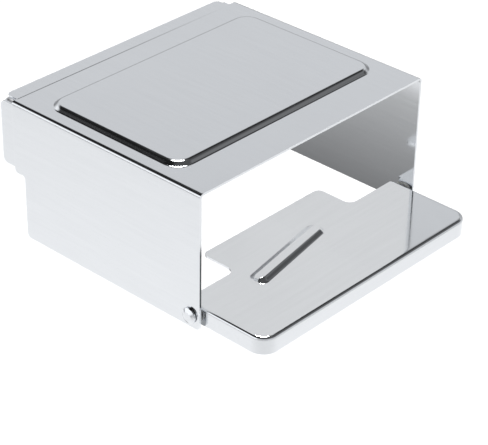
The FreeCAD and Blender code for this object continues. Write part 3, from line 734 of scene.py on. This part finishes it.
bright, cool = (0.82, 0.84, 0.865), (0.795, 0.815, 0.84)
plain, dull = (0.72, 0.73, 0.75), (0.62, 0.63, 0.65)
grey, dark_grey = (0.50, 0.51, 0.54), (0.40, 0.41, 0.44)
no_grain = (1, 1, 1)
hinge_axis = (0, hinge_y, hinge_z)
tip_low, tip_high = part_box("spindle_tip_left")
spindle_axis = (0, (tip_low.y + tip_high.y) / 2, (tip_low.z + tip_high.z) / 2)

hood_steel = metal("hood_steel", bright, cool, smooth=0.08, rough=0.11, stretch=(1, 0.05, 1),
                   fineness=2600, depth=5e-8)
flap_steel = metal("flap_steel", bright, cool, smooth=0.08, rough=0.11, stretch=(0.05, 1, 1),
                   fineness=2600, depth=5e-8)
satin_steel = metal("satin_steel", plain, dull, smooth=0.26, rough=0.40, stretch=(0.03, 1, 1),
                    fineness=1800, depth=1e-6)
tube_steel = metal("tube_steel", plain, dull, smooth=0.16, rough=0.26, stretch=(0.02, 1, 1),
                   fineness=2200, depth=4e-7)
pin_steel = metal("pin_steel", bright, cool, smooth=0.14, rough=0.20, stretch=no_grain,
                  fineness=900, depth=1.5e-6, centre=hinge_axis, pitch=2e-4)
tip_steel = metal("tip_steel", plain, dull, smooth=0.16, rough=0.24, stretch=no_grain,
                  fineness=900, depth=2e-6, centre=spindle_axis, pitch=3e-4)
rivet_steel = metal("rivet_steel", plain, dull, smooth=0.22, rough=0.34, stretch=no_grain,
                    fineness=1500, depth=2e-6)
spring_steel = metal("spring_steel", grey, dark_grey, smooth=0.20, rough=0.32, stretch=no_grain,
                     fineness=2000, depth=1e-6)

# %% [markdown]
# ## Nylon
# The bushes and cups are moulded in natural nylon: milky, a little translucent at the rim, with
# the fine pitted skin of a spark-eroded mould. A little subsurface scattering makes the milkiness.
# One noise serves for the tone, the gloss and the pits, so that all three agree.

# %% Mix the nylon
milk, thin_milk = (0.80, 0.80, 0.77, 1), (0.70, 0.70, 0.67, 1)
nylon = bpy.data.materials.new("nylon")
nylon.use_nodes = True
moulded = nylon.node_tree
skin = moulded.nodes["Principled BSDF"]
skin.inputs["Subsurface Weight"].default_value = 0.25
skin.inputs["Subsurface Radius"].default_value = (0.001, 0.001, 0.0008)
skin.inputs["Subsurface Scale"].default_value = 1.0
place = add(moulded, "ShaderNodeTexCoord")
pits = add(moulded, "ShaderNodeTexNoise", {"Vector": place.outputs["Object"], "Scale": 2500.0,
                                           "Detail": 2.0})
milky = add(moulded, "ShaderNodeMixRGB", {"Fac": pits.outputs[0], "Color1": thin_milk,
                                          "Color2": milk})
moulded.links.new(milky.outputs[0], skin.inputs["Base Color"])
sheen = add(moulded, "ShaderNodeMapRange", {"Value": pits.outputs[0], "To Min": 0.38,
                                            "To Max": 0.55})
moulded.links.new(sheen.outputs[0], skin.inputs["Roughness"])
pitted = add(moulded, "ShaderNodeBump", {"Height": pits.outputs[0], "Distance": 8e-6})
moulded.links.new(pitted.outputs["Normal"], skin.inputs["Normal"])
print("mixed", nylon.name)

# %% [markdown]
# ### Which piece has which finish
# Left and right pieces share a finish, so it is looked up by the name without its side.

# %% Give every piece its finish
finishes = {
    "hood_shell": hood_steel, "front_flap": flap_steel, "back_plate": satin_steel,
    "roll_arm": satin_steel, "arm_rivets": rivet_steel, "arm_cup": nylon, "hinge_bush": nylon,
    "hinge_pin": pin_steel, "hinge_washer": spring_steel, "pin_clip": spring_steel,
    "spindle_sleeve": tube_steel, "spindle_tube": tube_steel, "spindle_tip": tip_steel,
    "spindle_spring": spring_steel,
}
for name, node in nodes.items():
    family = name.removesuffix("_left").removesuffix("_right")
    node.material_slots[0].material = finishes[family]
hood.data.materials.clear()
hood.data.materials.append(hood_steel)
flap.data.materials.clear()
flap.data.materials.append(flap_steel)
print("finished", len(nodes), "nodes in", len(set(finishes.values())), "finishes")

# %% [markdown]
# ## The spindle's spring
# The spring pushes the spindle's two tubes apart, and it has to shorten when the inner tube is
# pushed in. A circle is the section of its wire, and the screw modifier winds it round the
# spindle's axis. It rides on the spindle's outer tube.

# %% Wind the spring
spring_low, spring_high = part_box("spindle_spring")
wire = 0.6 * MM  # its radius
coils, steps_per_coil, wire_sides = 7, 40, 14
coil_radius = (spring_high.z - spring_low.z) / 2 - wire
spring_length = spring_high.x - spring_low.x
bpy.ops.object.select_all(action="DESELECT")
bpy.ops.mesh.primitive_circle_add(vertices=wire_sides, radius=wire, rotation=(math.pi / 2, 0, 0),
                                  location=(0, 0, coil_radius))
spring = bpy.context.object
spring.name = "spindle_coil_spring"
bpy.ops.object.transform_apply(location=True, rotation=True, scale=True)
winding = spring.modifiers.new("winding", "SCREW")
winding.axis = "X"
winding.screw_offset = (spring_length - wire * 2) / coils
winding.iterations = coils
winding.steps = winding.render_steps = steps_per_coil
apply_all(spring)
spring.location = (spring_low.x + wire, spindle_axis[1], spindle_axis[2])
bpy.ops.object.transform_apply(location=True, rotation=True, scale=True)
bpy.ops.object.mode_set(mode="EDIT")
bpy.ops.mesh.select_all(action="SELECT")
bpy.ops.mesh.remove_doubles(threshold=NEAR / 10)
bpy.ops.mesh.fill_holes(sides=0)
bpy.ops.mesh.select_all(action="SELECT")
bpy.ops.mesh.normals_make_consistent(inside=False)
bpy.ops.object.mode_set(mode="OBJECT")
bpy.ops.object.shade_smooth_by_angle(angle=SMOOTH_ANGLE)
spring.data.materials.append(spring_steel)
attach(spring, "spindle_outer")
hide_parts("spindle_spring")
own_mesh(spring)
print("spring:", len(spring.data.polygons), "faces, length", round(spring_length, 4))

# %% [markdown]
# ## The sheets join the moving parts
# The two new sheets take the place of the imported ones: the hood stays with the frame, the flap
# swings with its hinge. Where they were placed and how far they swing is left as it was.

# %% Put the two sheets on their bodies
for piece, body, node in ((hood, "frame", "hood_shell"), (flap, "flap", "front_flap")):
    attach(piece, body)
    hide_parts(node)
    print(piece.name, "rides on", body, "in place of", node)

# %% [markdown]
# ## Floor and light
# Polished steel shows what stands around it, so the studio is part of its finish: a pale floor and
# pale walls at the left and the right, a darker one in front, and a dark ceiling. The flats mirror
# the pale parts, and the bends and pressed rims draw dark lines where they pass over the dark ones.
# It could be done with real walls, but a world that is shaded by direction has no edges and costs
# no light.

# %% Studio walls and ceiling
tint = (1, 1.01, 1.03)  # daylight is a little blue

studio = bpy.data.worlds.new("studio")
studio.use_nodes = True
sky_nodes, sky_links = studio.node_tree.nodes, studio.node_tree.links
direction = sky_nodes.new("ShaderNodeTexCoord")
split = sky_nodes.new("ShaderNodeSeparateXYZ")
sky_links.new(direction.outputs["Generated"], split.inputs["Vector"])


def wall(shades):
    """Shade one wall of the studio by height: the sine of the angle up, then its brightness."""
    ramp = sky_nodes.new("ShaderNodeValToRGB")
    stops = ramp.color_ramp.elements
    for index, (height, shade) in enumerate(shades.items()):
        stop = stops[index] if index < 2 else stops.new(height)
        stop.position = height
        stop.color = (*(shade * value for value in tint), 1)
    sky_links.new(split.outputs["Z"], ramp.inputs["Fac"])
    return ramp.outputs["Color"]


def join_walls(first, second, along, start, end):
    """Pass softly from one wall to another as a direction turns along an axis."""
    turned = sky_nodes.new("ShaderNodeMapRange")
    turned.interpolation_type = "SMOOTHSTEP"
    turned.inputs["From Min"].default_value = start
    turned.inputs["From Max"].default_value = end
    blend = sky_nodes.new("ShaderNodeMixRGB")
    sky_links.new(split.outputs[along], turned.inputs["Value"])
    sky_links.new(turned.outputs[0], blend.inputs["Fac"])
    sky_links.new(first, blend.inputs["Color1"])
    sky_links.new(second, blend.inputs["Color2"])
    return blend.outputs["Color"]


left_wall = wall({0.0: 1.25, 0.30: 1.20, 0.48: 0.80, 0.54: 0.30, 0.58: 0.05, 0.66: 0.01})
right_wall = wall({0.0: 0.22, 0.20: 0.42, 0.42: 0.72, 0.54: 0.68, 0.58: 0.30, 0.62: 0.12,
                   0.68: 0.02})
front_wall = wall({0.0: 0.85, 0.28: 0.60, 0.40: 0.12, 0.50: 0.06, 0.60: 0.20, 0.70: 0.08})
sides = join_walls(left_wall, right_wall, "X", -0.35, 0.35)
whole = join_walls(sides, front_wall, "Y", 0.05, -0.28)
sky_links.new(whole, sky_nodes["Background"].inputs["Color"])
bpy.context.scene.world = studio
print("studio walls:", len([node for node in sky_nodes if node.type == "VALTORGB"]))

# %% [markdown]
# ### Cards
# A photographer slides white and black cards under shiny ware to give its flat faces a clean
# tone. Here, too, cards stand just inside and below the hood. They glow on one side only. The
# camera, matt faces and shadows don't know of them: only reflections do. The card below shades
# off from one end to the other, so that the inside of a wall isn't one even grey.

# %% Cards that only reflections see
def one_way(material):
    """Make a stage material show only on the side that its faces look to."""
    tree = material.node_tree
    clear = add(tree, "ShaderNodeBsdfTransparent")
    looked_at = add(tree, "ShaderNodeNewGeometry")
    seen = add(tree, "ShaderNodeMixShader", {"Fac": looked_at.outputs["Backfacing"],
                                             1: tree.nodes["Principled BSDF"].outputs["BSDF"],
                                             2: clear.outputs["BSDF"]})
    tree.links.new(seen.outputs["Shader"], tree.nodes["Material Output"].inputs["Surface"])


def reflection_card(name, centre, size, turn, shades):
    """A glowing rectangle, unseen by the camera and by soft light, that polished faces mirror.

    The two shades are those of its ends.
    """
    bpy.ops.object.select_all(action="DESELECT")
    bpy.ops.mesh.primitive_plane_add(size=1, location=centre, rotation=turn)
    card = bpy.context.object
    card.name = name
    card.scale = (size[0], size[1], 1)
    glow = bpy.data.materials.new(name + "_glow")
    glow.use_nodes = True
    surface = glow.node_tree.nodes["Principled BSDF"]
    surface.inputs["Base Color"].default_value = (0, 0, 0, 1)
    surface.inputs["Emission Strength"].default_value = 1
    tree = glow.node_tree
    place = add(tree, "ShaderNodeTexCoord")
    along = add(tree, "ShaderNodeSeparateXYZ", {"Vector": place.outputs["Object"]})
    shade = add(tree, "ShaderNodeMapRange", {"Value": along.outputs["X"], "From Min": -0.5,
                                             "From Max": 0.5, "To Min": shades[0],
                                             "To Max": shades[1]})
    tree.links.new(shade.outputs["Result"], surface.inputs["Emission Color"])
    one_way(glow)
    card.data.materials.append(glow)
    card.visible_camera = False
    card.visible_diffuse = False
    card.visible_shadow = False


card_gap = 2 * MM
white_card, grey_card = (0.74, 0.74), (0.50, 0.06)
below_gap, below_depth, below_middle = 30 * MM, 160 * MM, -30 * MM
inside_half = half_width - gauge - card_gap
inside_top = hood_top - gauge - card_gap
inside_foot = hinge_z + 5 * MM
facing_up, facing_down, facing_left = (0, 0, 0), (math.pi, 0, 0), (0, -math.pi / 2, 0)
reflection_card("card_below", (0, below_middle, hood_low.z - below_gap),
                (inside_half * 2, below_depth), facing_up, grey_card)
reflection_card("card_above", (0, (hood_low.y + hood_back) / 2, inside_top),
                (inside_half * 2, hood_back - hood_low.y - card_gap), facing_down, white_card)
reflection_card("card_beside",
                (inside_half, (hood_low.y + step_y) / 2, (inside_foot + inside_top) / 2),
                (inside_top - inside_foot, step_y - hood_low.y), facing_left, white_card)
print("cards stand", card_gap / MM, "mm inside the hood and", below_gap / MM, "mm below it")

# %% [markdown]
# ### Floor
# The floor is white and matt. It lies well below the hood, because the holder hangs on a wall, so
# the hood throws no shadow beside itself. It is one-sided: from below, the view of the spindle
# and the arms stays open.

# %% Floor
floor_drop, floor_size, floor_white = 0.45, 12, 0.95
floor_z = hood_low.z - floor_drop
bpy.ops.object.select_all(action="DESELECT")
bpy.ops.mesh.primitive_plane_add(size=floor_size, location=(0, 0, floor_z))
floor = bpy.context.object
floor.name = "floor"
floor_paint = bpy.data.materials.new("floor_paint")
floor_paint.use_nodes = True
paint = floor_paint.node_tree.nodes["Principled BSDF"]
paint.inputs["Base Color"].default_value = (floor_white, floor_white, floor_white, 1)
paint.inputs["Roughness"].default_value = 0.9
one_way(floor_paint)
floor.data.materials.append(floor_paint)
print("floor at", round(floor_z, 4))

# %% [markdown]
# ### Soft light
# One square lamp high above gives the soft shading, and the small glints on the pressed corners.
# A hard lamp would draw shadows that a white studio doesn't have.

# %% Soft light above
lamp_size, lamp_watts, lamp_place = 0.9, 78, (0.40, 0.35, 2.2)
lamp_data = bpy.data.lights.new("soft_light", "AREA")
lamp_data.shape = "SQUARE"
lamp_data.size = lamp_size
lamp_data.energy = lamp_watts
lamp = bpy.data.objects.new("soft_light", lamp_data)
lamp.location = lamp_place
bpy.context.scene.collection.objects.link(lamp)
bpy.context.scene.view_settings.view_transform = "Standard"
print("lamp:", lamp_watts, "W at", lamp_place)
